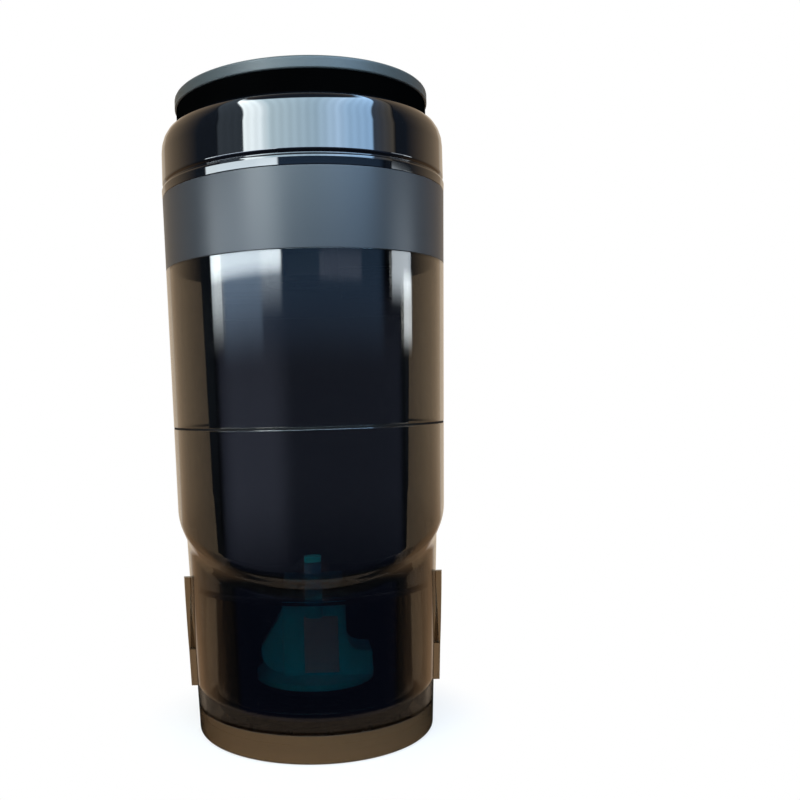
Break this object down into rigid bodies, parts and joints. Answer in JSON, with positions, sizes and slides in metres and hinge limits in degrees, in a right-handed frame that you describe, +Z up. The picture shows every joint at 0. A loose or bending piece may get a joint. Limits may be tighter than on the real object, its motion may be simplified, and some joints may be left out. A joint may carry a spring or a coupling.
{
  "type": "floor washer recovery tank",
  "caption": "Round smoke-tinted tank for an upright floor washer, with a stepped foot, inlet check valve, riser duct and a lift-off lid that holds a shut-off float and a pleated filter.",
  "frame": {"origin": "on the standing surface, under the tank's axis", "axes": "+Z up along the tank's axis, -Y towards the front, where the slanted step is low"},
  "size_m": [0.1112, 0.1112, 0.245],
  "materials": {
    "smoke_plastic": "smoke-tinted clear plastic, gloss",
    "band_grey": "fine matte grey plastic",
    "collar_black": "piano-black gloss plastic",
    "cap_grey": "matte slate-grey plastic",
    "cup_blue": "dark blue-tinted clear plastic",
    "deck_navy": "navy plastic",
    "duct_black": "black moulded plastic",
    "valve_teal": "teal moulded plastic",
    "weight_steel": "plain steel",
    "rubber_black": "black rubber",
    "float_grey": "light grey moulded plastic",
    "frame_grey": "grey moulded plastic",
    "filter_paper": "pleated filter paper"
  },
  "bodies": {
    "tank": {"tank_shell": "smoke_plastic", "top_band": "band_grey", "foot_cup": "cup_blue", "cup_base": "duct_black", "foot_deck": "deck_navy", "deck_baffle": "deck_navy", "riser_duct": "duct_black", "riser_panel": "duct_black", "valve_seat": "rubber_black", "inlet_gasket": "rubber_black", "guide_rail_left": "smoke_plastic", "guide_rail_right": "smoke_plastic"},
    "lid": {"lid_collar": "collar_black", "lid_plate": "duct_black", "filter_well": "duct_black", "lid_seal": "rubber_black", "lid_screws": "weight_steel", "float_cage": "duct_black", "float_seat": "rubber_black"},
    "filter": {"filter_cap": "cap_grey", "cap_ring": "rubber_black", "filter_frame": "frame_grey", "filter_ribs": "frame_grey", "filter_media": "filter_paper", "filter_end_plate": "frame_grey"},
    "float": {"shutoff_float": "float_grey"},
    "valve": {"valve_bell": "valve_teal", "valve_weight": "weight_steel", "valve_pad": "rubber_black"}
  },
  "joints": [
    {"name": "lid_lift", "type": "slide", "parent": "tank", "child": "lid", "axis": [0, 0, 1], "range_m": [0, 0.06]},
    {"name": "filter_lift", "type": "slide", "parent": "lid", "child": "filter", "axis": [0, 0, 1], "range_m": [0, 0.05]},
    {"name": "float_rise", "type": "slide", "parent": "lid", "child": "float", "axis": [0, 0, 1], "range_m": [0, 0.009]},
    {"name": "valve_lift", "type": "slide", "parent": "tank", "child": "valve", "axis": [0, 0, 1], "range_m": [0, 0.004]}
  ]
}
